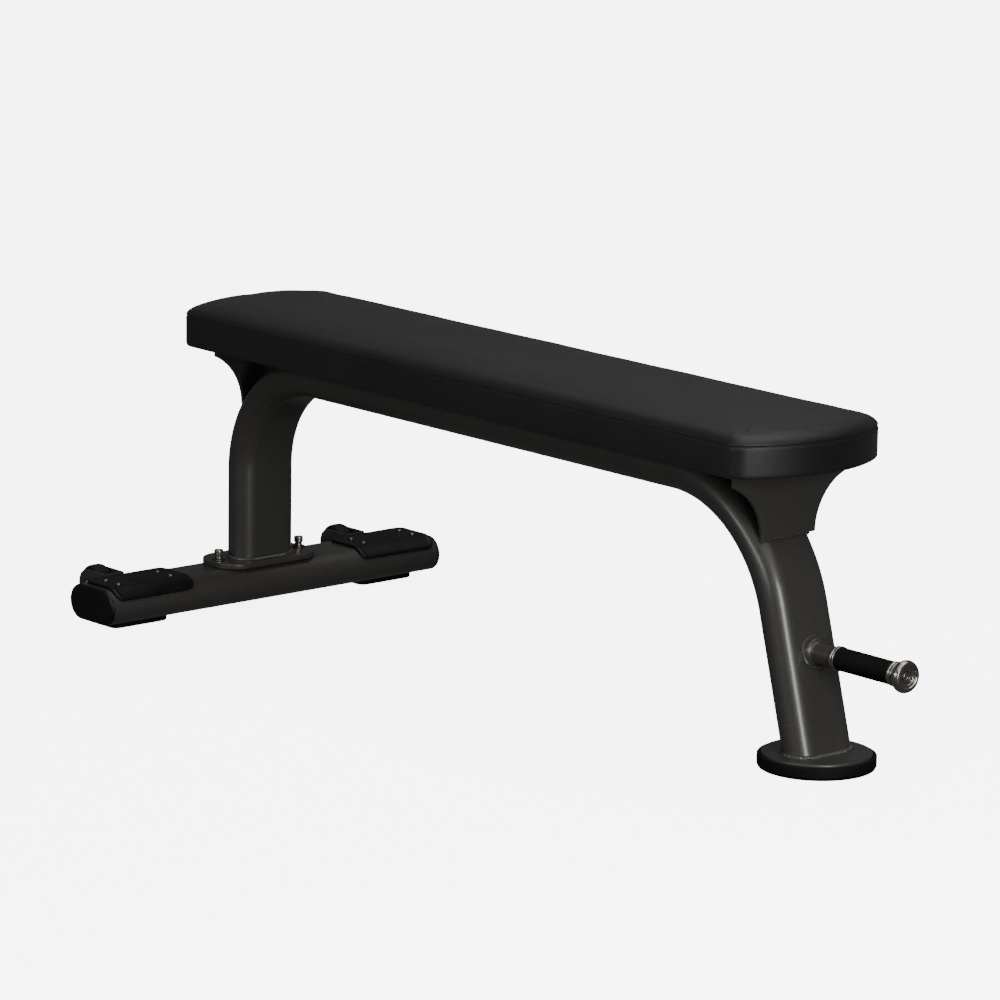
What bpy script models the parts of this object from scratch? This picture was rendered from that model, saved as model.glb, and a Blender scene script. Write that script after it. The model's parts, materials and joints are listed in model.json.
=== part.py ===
"""Flat weight bench: a bent flat-oval tube frame, a padded top, two transport wheels and a lifting handle.

Metres, +Z up, +X towards the handle, +Y is the left side. The origin is on the floor under the middle
of the whole bench. Places along the bench are stations, counted from the centre line of the rear beam.
"""
import math

import bmesh
import bpy
from mathutils import Matrix, Vector

GAP = 0.0003            # left between solids that touch
FINE = 0.00001          # welding distance of converted curves

# Flat-oval tube, used for the beam and for the main frame
TUBE_WIDE = 0.100
TUBE_HIGH = 0.050
TUBE_WALL = 0.003
TUBE_R = TUBE_HIGH / 2
OVAL_STEPS = 8          # steps on each round side of the oval

# Rear beam
BEAM_Z = 0.035
BEAM_HALF = 0.295       # over the end caps
CAP_THICK = 0.006
CAP_SPIGOT = 0.020
BEAM_TUBE_HALF = BEAM_HALF - CAP_THICK - GAP
BEAM_TOP = BEAM_Z + TUBE_R
BEAM_FOOT_LONG = 0.096
BEAM_FOOT_WIDE = 0.040
BEAM_FOOT_Y = 0.220
BEAM_FOOT_CORNER = 0.012

# Flange at the foot of the upright
FLANGE_LONG = 0.170
FLANGE_WIDE = 0.086
FLANGE_THICK = 0.008
FLANGE_CORNER = 0.036
FLANGE_BOLT_Y = 0.0715
FLANGE_TOP = BEAM_TOP + GAP + FLANGE_THICK
BOLT_R = 0.005
BOLT_HEAD_R = 0.0065
BOLT_HEAD_LOW = 0.0055  # underside of the head, above the washer
BOLT_STAND = 0.013      # top of the head, above the washer
BOLT_COLLAR_R = 0.0052
BOLT_SOCKET_R = 0.0032
BOLT_SOCKET_DEEP = 0.004
BOLT_SHANK_END = -0.024
NUT_CORNER_R = 0.0098
NUT_HIGH = 0.008
WASHER_R = 0.009
WASHER_THICK = 0.0015

# Main frame tube
SPINE_Z = 0.345
REAR_BEND = 0.150
FRONT_BEND = 0.200
LEAN = 0.27             # of the front leg, radians from upright
LEG_FLOOR_X = 1.144     # station where the leg's centre line would meet the floor
BEND_STEPS = 10
UPRIGHT_X = 0.002

# Front foot
FOOT_X = 1.1388
FOOT_R = 0.076
FOOT_HIGH = 0.0175
FOOT_LIP = 0.005
FOOT_RIM = 0.005        # width of the rubber's rim round the plate
FOOT_PLATE_THICK = 0.008

# Flared brackets that carry the ends of the pad
BRACKET_THICK = 0.006
BRACKET_DEEP = 0.070
BRACKET_FOOT_Z = 0.287
BRACKET_SHOULDER = 0.019
SHELF_CORNER = 0.008
SHELF_LAP = 0.0005      # of the shelf, in from the bracket's face
BRACKET_BOLT_IN = 0.028 # of the pad's bolts, in from the bracket's face
PAD_BOLT_R = 0.004
PAD_BOLT_HEAD_R = 0.0075
PAD_BOLT_HEAD_HIGH = 0.0065
PAD_BOLT_LONG = 0.018
FRONT_BRACKET_X = 1.072
FRONT_BRACKET_TOP = 0.097
FRONT_BRACKET_NECK = 0.046
REAR_BRACKET_X = 0.0015
REAR_BRACKET_TOP = 0.078
REAR_BRACKET_NECK = 0.030

# Pad
PAD_BOTTOM = 0.3786
PAD_REAR = -0.053
PAD_FRONT = 1.1495
PAD_HALF = 0.126
PAD_END_R = 0.212
PAD_CORNER = 0.030
PAD_ROLL = 0.014        # radius of the soft top edge
PAD_SHOULDER = 0.4355
PAD_TOP = 0.440
COVER_THICK = 0.0015
BOARD_THICK = 0.015
CROWN_INSET = 0.060
MOUNT_BAR_WIDE = 0.060
MOUNT_BAR_THICK = 0.0076
MOUNT_BAR_CORNER = 0.006
MOUNT_BAR_CLEAR = 0.010 # from the bar's ends to the tube's bends

# Handle, on the centre plane of the bench
HANDLE_Z = 0.147
HANDLE_ROOT_R = 0.019
HANDLE_STUB_R = 0.0135
HANDLE_CORE_R = 0.010
HANDLE_GRIP_R = 0.015
HANDLE_COLLAR_R = 0.016
HANDLE_CAP_R = 0.0212
HANDLE_INSIDE = 1.120   # where the stub starts, within the slope of the leg
HANDLE_ROOT_END = 1.1330
HANDLE_NECK_START = 1.1370
HANDLE_STUB_END = 1.1700
HANDLE_COLLAR_END = 1.1780
HANDLE_GRIP_END = 1.2720
HANDLE_RING_END = 1.2804
HANDLE_END = 1.2975
HANDLE_CORE_SHORT = 0.012   # of the core bar, back from the handle's end
CAP_MOUTH = 0.010       # depth of the recess in the end cap
CAP_SCREW_R = 0.004
CAP_SCREW_HEAD_R = 0.0068
CAP_SCREW_DEEP = 0.016

# Guards over the beam
GUARD_INNER_Y = 0.149
GUARD_OUTER_Y = 0.284
GUARD_THICK = 0.004
GUARD_REAR_ANGLE = math.radians(101)
GUARD_FRONT_ANGLE = math.radians(24)
GUARD_CORNER = 0.014
GUARD_TOP_CORNER = 0.009
GUARD_TRIM = 0.0005     # that the trimming takes off the guard's long edges
GUARD_SCREW_X = (-0.007, 0.022)
GUARD_SCREW_Y = (0.263, 0.173)
SCREW_R = 0.002
SCREW_HEAD_R = 0.0045
SCREW_HEAD_HIGH = 0.0028
SCREW_LONG = 0.014

# Transport wheels
WHEEL_X = -0.0905
WHEEL_Z = 0.0405
WHEEL_Y = 0.2165
WHEEL_R = 0.025
TYRE_CROWN = 0.004
WHEEL_WIDE = 0.024
HUB_R = 0.017
HUB_WIDE = 0.026
BUSH_R = 0.006
BUSH_BORE_R = 0.00408
AXLE_R = 0.004
AXLE_HEAD_R = 0.0065
AXLE_HEAD_HIGH = 0.004
AXLE_NUT_R = 0.0075
AXLE_NUT_HIGH = 0.0065
AXLE_TAIL = 0.008       # of the axle bolt, out from the ear
HUB_DISH = 0.002
HUB_LIP = 0.004
HUB_BOSS = 0.003        # wall of the boss round the bush
EAR_R = 0.0195
EAR_THICK = 0.003
EAR_EDGE = 0.0005
WEB_THICK = 0.0034
EAR_CLEAR = 0.0015      # side play between the bush and each ear

# The station of the beam lies this far behind the origin
REARMOST = WHEEL_X - WHEEL_R
ORIGIN_X = (HANDLE_END + REARMOST) / 2

ALONG_X = (0.0, math.radians(90), 0.0)
ALONG_Y = (math.radians(-90), 0.0, 0.0)
FACING_X = (math.radians(90), 0.0, math.radians(90))
FACING_Y = (math.radians(90), 0.0, 0.0)


def at(station, y=0.0, z=0.0):
    """A point of the bench from its station, offset to the side and height."""
    return Vector((station - ORIGIN_X, y, z))


# ---------------------------------------------------------------- scene helpers

def clear_scene():
    for thing in list(bpy.data.objects):
        bpy.data.objects.remove(thing, do_unlink=True)


def collection(name):
    made = bpy.data.collections.new(name)
    bpy.context.scene.collection.children.link(made)
    return made


def material(name, colour, roughness, metallic):
    made = bpy.data.materials.new(name)
    made.use_nodes = True
    shader = made.node_tree.nodes["Principled BSDF"]
    shader.inputs["Base Color"].default_value = (*colour, 1.0)
    shader.inputs["Roughness"].default_value = roughness
    shader.inputs["Metallic"].default_value = metallic
    made.diffuse_color = (*colour, 1.0)
    return made


def place(name, mesh, group, paint=None, location=(0, 0, 0), rotation=(0, 0, 0)):
    made = bpy.data.objects.new(name, mesh)
    group.objects.link(made)
    made.location = location
    made.rotation_euler = rotation
    if paint:
        mesh.materials.clear()
        mesh.materials.append(paint)
    mesh.shade_smooth()
    mesh.set_sharp_from_angle(angle=math.radians(35))
    return made


def curve_to_mesh(curve):
    """The mesh that a curve makes, with its caps welded on and its faces pointing out."""
    holder = bpy.data.objects.new("outline", curve)
    bpy.context.scene.collection.objects.link(holder)
    bpy.context.view_layer.update()
    seen = holder.evaluated_get(bpy.context.evaluated_depsgraph_get())
    mesh = bpy.data.meshes.new_from_object(seen)
    bpy.data.objects.remove(holder, do_unlink=True)
    shape = bmesh.new()
    shape.from_mesh(mesh)
    bmesh.ops.remove_doubles(shape, verts=shape.verts, dist=FINE)
    bmesh.ops.recalc_face_normals(shape, faces=shape.faces)
    shape.to_mesh(mesh)
    shape.free()
    return mesh


def outline_curve(outlines):
    curve = bpy.data.curves.new("outline", "CURVE")
    curve.dimensions = "2D"
    for points in outlines:
        spline = curve.splines.new("POLY")
        spline.points.add(len(points) - 1)
        for spot, (u, v) in zip(spline.points, points):
            spot.co = (u, v, 0, 1)
        spline.use_cyclic_u = True
    return curve


def slab(outlines, thickness, edge=0.0):
    """A flat piece from its outline, with any holes as further outlines and its edges eased by edge."""
    curve = outline_curve(outlines)
    curve.fill_mode = "BOTH"
    curve.extrude = thickness / 2 - edge
    curve.bevel_depth = edge
    curve.offset = -edge
    curve.bevel_resolution = 0
    return curve_to_mesh(curve)


def swept_tube(path, section):
    """An open flat-oval tube bent along a path that lies in its own XY plane."""
    profile = outline_curve([section])
    profile_holder = bpy.data.objects.new("section", profile)
    curve = bpy.data.curves.new("path", "CURVE")
    curve.dimensions = "2D"
    curve.fill_mode = "NONE"
    spline = curve.splines.new("POLY")
    spline.points.add(len(path) - 1)
    for spot, (u, v) in zip(spline.points, path):
        spot.co = (u, v, 0, 1)
    curve.bevel_mode = "OBJECT"
    curve.bevel_object = profile_holder
    mesh = curve_to_mesh(curve)
    bpy.data.objects.remove(profile_holder, do_unlink=True)
    return mesh


def turned(name, profile, group, paint, location, rotation=(0, 0, 0), steps=24, ring=False):
    """A turned piece: (radius, height) points down its outer side; a ring's profile is closed."""
    mesh = bpy.data.meshes.new(name)
    count = len(profile)
    edges = [(i, i + 1) for i in range(count - 1)]
    if ring:
        edges.append((count - 1, 0))
    mesh.from_pydata([(r, 0, h) for r, h in profile], edges, [])
    made = place(name, mesh, group, paint, location, rotation)
    screw = made.modifiers.new("turn", "SCREW")
    screw.steps = steps
    screw.render_steps = steps
    screw.use_merge_vertices = True
    screw.merge_threshold = 0.00005
    screw.use_smooth_shade = True
    return made


def ring_profile(outer, inner, low, high, ease=0.0):
    """A closed ring section, its outer corners eased."""
    return [(outer - ease, high), (outer, high - ease), (outer, low + ease), (outer - ease, low),
            (inner, low), (inner, high)]


def cylinders(name, spots, radius, length, group, steps=24):
    """One cutter made of upright cylinders, centred on each of the spots."""
    shape = bmesh.new()
    for spot in spots:
        bmesh.ops.create_cone(shape, cap_ends=True, segments=steps, radius1=radius, radius2=radius,
                              depth=length, matrix=Matrix.Translation(spot))
    return finish_cutter(name, shape, group)


def block(name, centre, size, group, turn=None):
    """A box cutter."""
    shape = bmesh.new()
    bmesh.ops.create_cube(shape, size=1.0)
    bmesh.ops.scale(shape, vec=size, verts=shape.verts)
    if turn:
        bmesh.ops.rotate(shape, cent=(0, 0, 0), matrix=turn, verts=shape.verts)
    bmesh.ops.translate(shape, vec=centre, verts=shape.verts)
    return finish_cutter(name, shape, group)


def finish_cutter(name, shape, group):
    mesh = bpy.data.meshes.new(name)
    shape.to_mesh(mesh)
    shape.free()
    return as_cutter(place(name, mesh, group))


def as_cutter(thing):
    thing.hide_render = True
    thing.display_type = "WIRE"
    return thing


def boolean(target, other, operation="DIFFERENCE"):
    step = target.modifiers.new(operation.lower(), "BOOLEAN")
    step.operation = operation
    step.solver = "EXACT"
    step.object = other


# ---------------------------------------------------------------- outlines

def arc(centre, radius, start, end, steps):
    return [(centre[0] + radius * math.cos(start + (end - start) * i / steps),
             centre[1] + radius * math.sin(start + (end - start) * i / steps)) for i in range(steps + 1)]


def circle(centre, radius, steps=16):
    return arc(centre, radius, 0.0, 2 * math.pi, steps)[:-1]


def flat_oval(long, short, inset=0.0):
    """Straight sides and round ends, the long way along u."""
    radius = short / 2 - inset
    reach = (long - short) / 2
    return (arc((reach, 0), radius, -math.pi / 2, math.pi / 2, OVAL_STEPS)
            + arc((-reach, 0), radius, math.pi / 2, 3 * math.pi / 2, OVAL_STEPS))


def rounded_box(u_size, v_size, corner, centre=(0.0, 0.0), steps=5):
    points = []
    for turn, (side_u, side_v) in enumerate(((1, 1), (-1, 1), (-1, -1), (1, -1))):
        middle = (centre[0] + side_u * (u_size / 2 - corner), centre[1] + side_v * (v_size / 2 - corner))
        points += arc(middle, corner, turn * math.pi / 2, (turn + 1) * math.pi / 2, steps)
    return points


def pad_outline(inset):
    """The pad from above, in from its edge by inset: straight sides, bowed ends and eased corners."""
    half = PAD_HALF - inset
    reach = (PAD_FRONT - PAD_REAR) / 2 - inset
    bow = PAD_END_R - inset
    corner = max(PAD_CORNER - inset, 0.006)
    bow_centre = reach - bow
    corner_u = bow_centre + math.sqrt((bow - corner) ** 2 - (half - corner) ** 2)
    corner_v = half - corner
    meet = math.atan2(corner_v, corner_u - bow_centre)
    end = (arc((corner_u, -corner_v), corner, -math.pi / 2, -meet, 4)[:-1]
           + arc((bow_centre, 0), bow, -meet, meet, 10)
           + arc((corner_u, corner_v), corner, meet, math.pi / 2, 4)[1:])
    return end + [(-u, -v) for u, v in end]


def loft(rings):
    """A closed skin through rings of equal count, capped at its first and last ring."""
    shape = bmesh.new()
    loops = [[shape.verts.new(point) for point in ring] for ring in rings]
    count = len(rings[0])
    for low, high in zip(loops, loops[1:]):
        for i in range(count):
            j = (i + 1) % count
            shape.faces.new((low[i], low[j], high[j], high[i]))
    shape.faces.new(loops[0])
    shape.faces.new(loops[-1])
    bmesh.ops.recalc_face_normals(shape, faces=shape.faces)
    mesh = bpy.data.meshes.new("loft")
    shape.to_mesh(mesh)
    shape.free()
    return mesh


def pad_ring(inset, z):
    middle = at((PAD_FRONT + PAD_REAR) / 2)
    return [(middle.x + u, v, z) for u, v in pad_outline(inset)]


def soft_top(shift, low):
    """Rings from low up a straight side, over the rolled edge to the crowned top, all moved in by shift."""
    roll_centre = PAD_SHOULDER - PAD_ROLL
    radius = PAD_ROLL - shift
    rings = [pad_ring(shift, low)]
    for step in range(5):
        angle = math.pi / 2 * step / 4
        rings.append(pad_ring(PAD_ROLL - radius * math.cos(angle), roll_centre + radius * math.sin(angle)))
    rings.append(pad_ring(CROWN_INSET, PAD_TOP - shift))
    return rings


# ---------------------------------------------------------------- the bench

clear_scene()
bench = collection("flat_weight_bench")
cutters = collection("cutters")

frame_paint = material("frame_paint", (0.035, 0.034, 0.031), 0.38, 0.35)
black_rubber = material("black_rubber", (0.012, 0.012, 0.012), 0.75, 0.0)
black_plastic = material("black_plastic", (0.012, 0.012, 0.012), 0.40, 0.0)
polished_steel = material("polished_steel", (0.60, 0.59, 0.56), 0.18, 1.0)
zinc_steel = material("zinc_steel", (0.42, 0.42, 0.41), 0.35, 1.0)
pad_vinyl = material("pad_vinyl", (0.013, 0.013, 0.013), 0.45, 0.0)
pad_foam_grey = material("pad_foam", (0.30, 0.30, 0.28), 0.95, 0.0)
plywood = material("plywood", (0.45, 0.31, 0.18), 0.70, 0.0)
bronze = material("bronze", (0.48, 0.32, 0.14), 0.35, 1.0)

SIDES = (("left", 1), ("right", -1))


def front_bend_start():
    """Station where the spine starts to bend down into the leg."""
    meet_x = LEG_FLOOR_X - math.tan(LEAN) * SPINE_Z
    return meet_x - FRONT_BEND * math.tan((math.pi / 2 - LEAN) / 2)


def main_frame():
    """One flat-oval tube: up from the flange, along under the pad and down the sloping leg."""
    rear = (UPRIGHT_X + REAR_BEND, SPINE_Z - REAR_BEND)
    front = (front_bend_start(), SPINE_Z - FRONT_BEND)
    below = -0.02
    path = [(UPRIGHT_X, FLANGE_TOP + GAP)]
    path += arc(rear, REAR_BEND, math.pi, math.pi / 2, BEND_STEPS)
    path += arc(front, FRONT_BEND, math.pi / 2, LEAN, BEND_STEPS)
    path.append((LEG_FLOOR_X - math.tan(LEAN) * below, below))
    section = [(v, u) for u, v in flat_oval(TUBE_WIDE, TUBE_HIGH, TUBE_WALL / 2)]
    mesh = swept_tube(path, section)
    tube = place("main_frame_tube", mesh, bench, frame_paint, at(0), FACING_Y)
    wall = tube.modifiers.new("wall", "SOLIDIFY")
    wall.thickness = TUBE_WALL
    wall.offset = 0.0
    plate_top = FOOT_HIGH - FOOT_LIP + FOOT_PLATE_THICK + GAP
    deep = 0.1
    boolean(tube, block("leg_foot_cutter", at(LEG_FLOOR_X, 0, plate_top - deep / 2), (0.3, 0.3, deep), cutters))


def rear_beam():
    outer = flat_oval(TUBE_WIDE, TUBE_HIGH)
    inner = flat_oval(TUBE_WIDE, TUBE_HIGH, TUBE_WALL)
    tube = place("rear_beam_tube", slab([outer, inner], 2 * BEAM_TUBE_HALF), bench, frame_paint,
                 at(0, 0, BEAM_Z), FACING_Y)
    bolt_holes = [at(0, side * FLANGE_BOLT_Y, BEAM_TOP) for _, side in SIDES]
    boolean(tube, cylinders("beam_bolt_cutter", bolt_holes, BOLT_R + GAP, 0.02, cutters))
    spots = [spot for row in guard_screw_spots().values() for spot in row]
    screw_holes = [Vector((spot.x, spot.y, BEAM_TOP)) for spot in spots]
    boolean(tube, cylinders("beam_screw_cutter", screw_holes, SCREW_R + GAP, 0.02, cutters, 12))
    for name, side in SIDES:
        lid = slab([outer], CAP_THICK, 0.0018)
        cap = place(f"beam_end_cap_{name}", lid, bench, black_plastic,
                    at(0, side * (BEAM_HALF - CAP_THICK / 2), BEAM_Z), FACING_Y)
        plug = slab([flat_oval(TUBE_WIDE, TUBE_HIGH, TUBE_WALL + GAP)], CAP_SPIGOT)
        spigot = place(f"cap_spigot_{name}", plug, cutters, None,
                       at(0, side * (BEAM_HALF - CAP_THICK / 2 - CAP_SPIGOT / 2), BEAM_Z), FACING_Y)
        boolean(cap, as_cutter(spigot), "UNION")
        outline = rounded_box(BEAM_FOOT_WIDE, BEAM_FOOT_LONG, BEAM_FOOT_CORNER)
        foot = slab([outline], BEAM_Z - TUBE_R - GAP, 0.0015)
        place(f"beam_foot_{name}", foot, bench, black_rubber,
              at(0, side * BEAM_FOOT_Y, (BEAM_Z - TUBE_R - GAP) / 2))


def flange():
    outline = rounded_box(FLANGE_WIDE, FLANGE_LONG, FLANGE_CORNER)
    holes = [circle((0, side * FLANGE_BOLT_Y), BOLT_R + GAP) for _, side in SIDES]
    place("upright_flange_plate", slab([outline] + holes, FLANGE_THICK, 0.001), bench, frame_paint,
          at(0, 0, FLANGE_TOP - FLANGE_THICK / 2))
    washer_top = FLANGE_TOP + GAP + WASHER_THICK
    nut_top = BEAM_TOP - TUBE_WALL - GAP
    for name, side in SIDES:
        y = side * FLANGE_BOLT_Y
        turned(f"flange_washer_{name}", ring_profile(WASHER_R, BOLT_R + GAP, 0, WASHER_THICK), bench,
               zinc_steel, at(0, y, FLANGE_TOP + GAP), ring=True, steps=16)
        flange_bolt(f"flange_bolt_{name}", at(0, y, washer_top + GAP))
        hexagon = circle((0, 0), NUT_CORNER_R, 6)
        place(f"flange_nut_{name}", slab([hexagon, circle((0, 0), BOLT_R + GAP)], NUT_HIGH), bench,
              zinc_steel, at(0, y, nut_top - NUT_HIGH / 2))


def flange_bolt(name, seat):
    """A socket-head bolt on a narrower collar, with a blind socket in its head."""
    socket_low = BOLT_STAND - BOLT_SOCKET_DEEP
    ease = 0.001
    profile = [(0, socket_low), (BOLT_SOCKET_R, socket_low), (BOLT_SOCKET_R, BOLT_STAND),
               (BOLT_HEAD_R - ease, BOLT_STAND), (BOLT_HEAD_R, BOLT_STAND - ease), (BOLT_HEAD_R, BOLT_HEAD_LOW),
               (BOLT_COLLAR_R, BOLT_HEAD_LOW - ease), (BOLT_COLLAR_R, 0), (BOLT_R, 0), (BOLT_R, BOLT_SHANK_END),
               (0, BOLT_SHANK_END)]
    turned(name, profile, bench, polished_steel, seat, steps=18)


def front_foot():
    """A steel plate welded under the leg, seated in a round rubber cup."""
    seat = FOOT_HIGH - FOOT_LIP
    inner = FOOT_R - FOOT_RIM
    cup = [(0, seat), (inner, seat), (inner, FOOT_HIGH), (FOOT_R - 0.0015, FOOT_HIGH),
           (FOOT_R, FOOT_HIGH - 0.0015), (FOOT_R, 0.002), (FOOT_R - 0.002, 0), (0, 0)]
    turned("front_foot_rubber", cup, bench, black_rubber, at(FOOT_X), steps=40)
    plate_r = inner - GAP
    low = seat + GAP
    top = seat + FOOT_PLATE_THICK
    plate = [(0, top), (plate_r - 0.0015, top), (plate_r, top - 0.0015), (plate_r, low), (0, low)]
    turned("front_foot_plate", plate, bench, frame_paint, at(FOOT_X), steps=40)


def bracket(name, face_x, front, top_half, neck_half):
    """A flared upright plate with a flange bent over towards the middle of the bench, under the pad."""
    top = PAD_BOTTOM - GAP
    shoulder = top - BRACKET_SHOULDER
    drop = shoulder - BRACKET_FOOT_Z
    spread = top_half - neck_half
    hollow = (spread ** 2 + drop ** 2) / (2 * spread)
    sweep = math.asin(drop / hollow)
    right = arc((neck_half + hollow, BRACKET_FOOT_Z), hollow, math.pi, math.pi - sweep, 10) + [(top_half, top)]
    outline = right + [(-u, v) for u, v in reversed(right)]
    middle_x = face_x + front * BRACKET_THICK / 2
    plate = place(name, slab([outline], BRACKET_THICK, 0.0008), bench, frame_paint, at(middle_x), FACING_X)
    shelf = slab([rounded_box(BRACKET_DEEP, 2 * top_half, SHELF_CORNER)], BRACKET_THICK)
    shelf_x = face_x + front * (BRACKET_THICK - SHELF_LAP - BRACKET_DEEP / 2)
    shelf_z = top - BRACKET_THICK / 2
    flange_piece = place(f"{name}_shelf", shelf, cutters, None, at(shelf_x, 0, shelf_z))
    boolean(plate, as_cutter(flange_piece), "UNION")
    bolt_x = face_x - front * BRACKET_BOLT_IN
    bolt_y = top_half / 2
    holes = [at(bolt_x, side * bolt_y, shelf_z) for _, side in SIDES]
    boolean(plate, cylinders(f"{name}_bolt_cutter", holes, PAD_BOLT_R + GAP, 0.03, cutters, 16))
    return holes


def pad(bolt_spots):
    board_low = PAD_BOTTOM + GAP
    board_high = board_low + BOARD_THICK
    inside = COVER_THICK + GAP
    board = loft([pad_ring(inside, board_low), pad_ring(inside, board_high)])
    panel = place("pad_board", board, bench, plywood)
    boolean(panel, cylinders("board_bolt_cutter", [Vector((s.x, s.y, board_low)) for s in bolt_spots],
                             PAD_BOLT_R + GAP, 2 * (BOARD_THICK - 0.002), cutters, 16))
    place("pad_foam", loft(soft_top(inside, board_high + GAP)), bench, pad_foam_grey)
    outside = soft_top(0.0, PAD_BOTTOM)
    lining = soft_top(COVER_THICK, PAD_BOTTOM)
    place("pad_cover", loft(list(reversed(lining)) + outside), bench, pad_vinyl)
    low = -PAD_BOLT_HEAD_HIGH
    for name, spot in zip(("front_left", "front_right", "rear_left", "rear_right"), bolt_spots):
        profile = [(0, PAD_BOLT_LONG), (PAD_BOLT_R, PAD_BOLT_LONG), (PAD_BOLT_R, 0), (PAD_BOLT_HEAD_R, 0),
                   (PAD_BOLT_HEAD_R, low + 0.001), (PAD_BOLT_HEAD_R - 0.001, low), (0, low)]
        seat = Vector((spot.x, spot.y, PAD_BOTTOM - GAP - BRACKET_THICK - GAP))
        turned(f"pad_bolt_{name}", profile, bench, zinc_steel, seat, steps=16)


def mounting_bar():
    """A flat bar along the top of the spine that the pad's board lies on."""
    start = UPRIGHT_X + REAR_BEND + MOUNT_BAR_CLEAR
    end = front_bend_start() - MOUNT_BAR_CLEAR
    low = SPINE_Z + TUBE_R + GAP
    outline = rounded_box(end - start, MOUNT_BAR_WIDE, MOUNT_BAR_CORNER)
    middle = at((start + end) / 2, 0, low + MOUNT_BAR_THICK / 2)
    place("pad_mounting_bar", slab([outline], MOUNT_BAR_THICK, 0.0008), bench, frame_paint, middle)


def guard_screw_spots():
    """Where each guard's four screws sit, by side, on the flat top of the beam."""
    spots = {}
    for name, side in SIDES:
        spots[name] = [at(x, side * y) for y in GUARD_SCREW_Y for x in GUARD_SCREW_X]
    return spots


def guards():
    """Moulded covers wrapped over the top and the front of the beam."""
    reach = (TUBE_WIDE - TUBE_HIGH) / 2
    near = TUBE_R + GAP
    far = near + GUARD_THICK
    front = GUARD_FRONT_ANGLE
    rear = GUARD_REAR_ANGLE
    section = arc((reach, 0), far, front, math.pi / 2, 8) + arc((-reach, 0), far, math.pi / 2, rear, 2)
    section += arc((-reach, 0), near, rear, math.pi / 2, 2) + arc((reach, 0), near, math.pi / 2, front, 8)
    long = GUARD_OUTER_Y - GUARD_INNER_Y
    middle = (GUARD_OUTER_Y + GUARD_INNER_Y) / 2
    spots = guard_screw_spots()
    for name, side in SIDES:
        guard = place(f"beam_guard_{name}", slab([section], long), bench, black_plastic,
                      at(0, side * middle, BEAM_Z), FACING_Y)
        tall = 0.080
        low_z = BEAM_Z + far * math.sin(front) + GUARD_TRIM
        front_trim = slab([rounded_box(long - 2 * GAP, tall, GUARD_CORNER)], 0.2)
        boolean(guard, as_cutter(place(f"guard_front_trim_{name}", front_trim, cutters, None,
                                       at(0, side * middle, low_z + tall / 2), FACING_X)), "INTERSECT")
        rear_edge = -reach - far * math.sin(rear - math.pi / 2) + GUARD_TRIM
        top_trim = slab([rounded_box(0.12, long, GUARD_TOP_CORNER)], 0.2)
        boolean(guard, as_cutter(place(f"guard_top_trim_{name}", top_trim, cutters, None,
                                       at(rear_edge + 0.06, side * middle, BEAM_Z))), "INTERSECT")
        holes = [Vector((s.x, s.y, BEAM_TOP)) for s in spots[name]]
        boolean(guard, cylinders(f"guard_screw_cutter_{name}", holes, SCREW_R + GAP, 0.02, cutters, 12))
        head = BEAM_TOP + 2 * GAP + GUARD_THICK
        for number, spot in enumerate(spots[name], 1):
            profile = [(0, SCREW_HEAD_HIGH), (0.0022, SCREW_HEAD_HIGH), (0.0038, 0.0021),
                       (SCREW_HEAD_R, 0), (SCREW_R, 0), (SCREW_R, -SCREW_LONG), (0, -SCREW_LONG)]
            turned(f"guard_screw_{name}_{number}", profile, bench, zinc_steel,
                   Vector((spot.x, spot.y, head)), steps=12)


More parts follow.
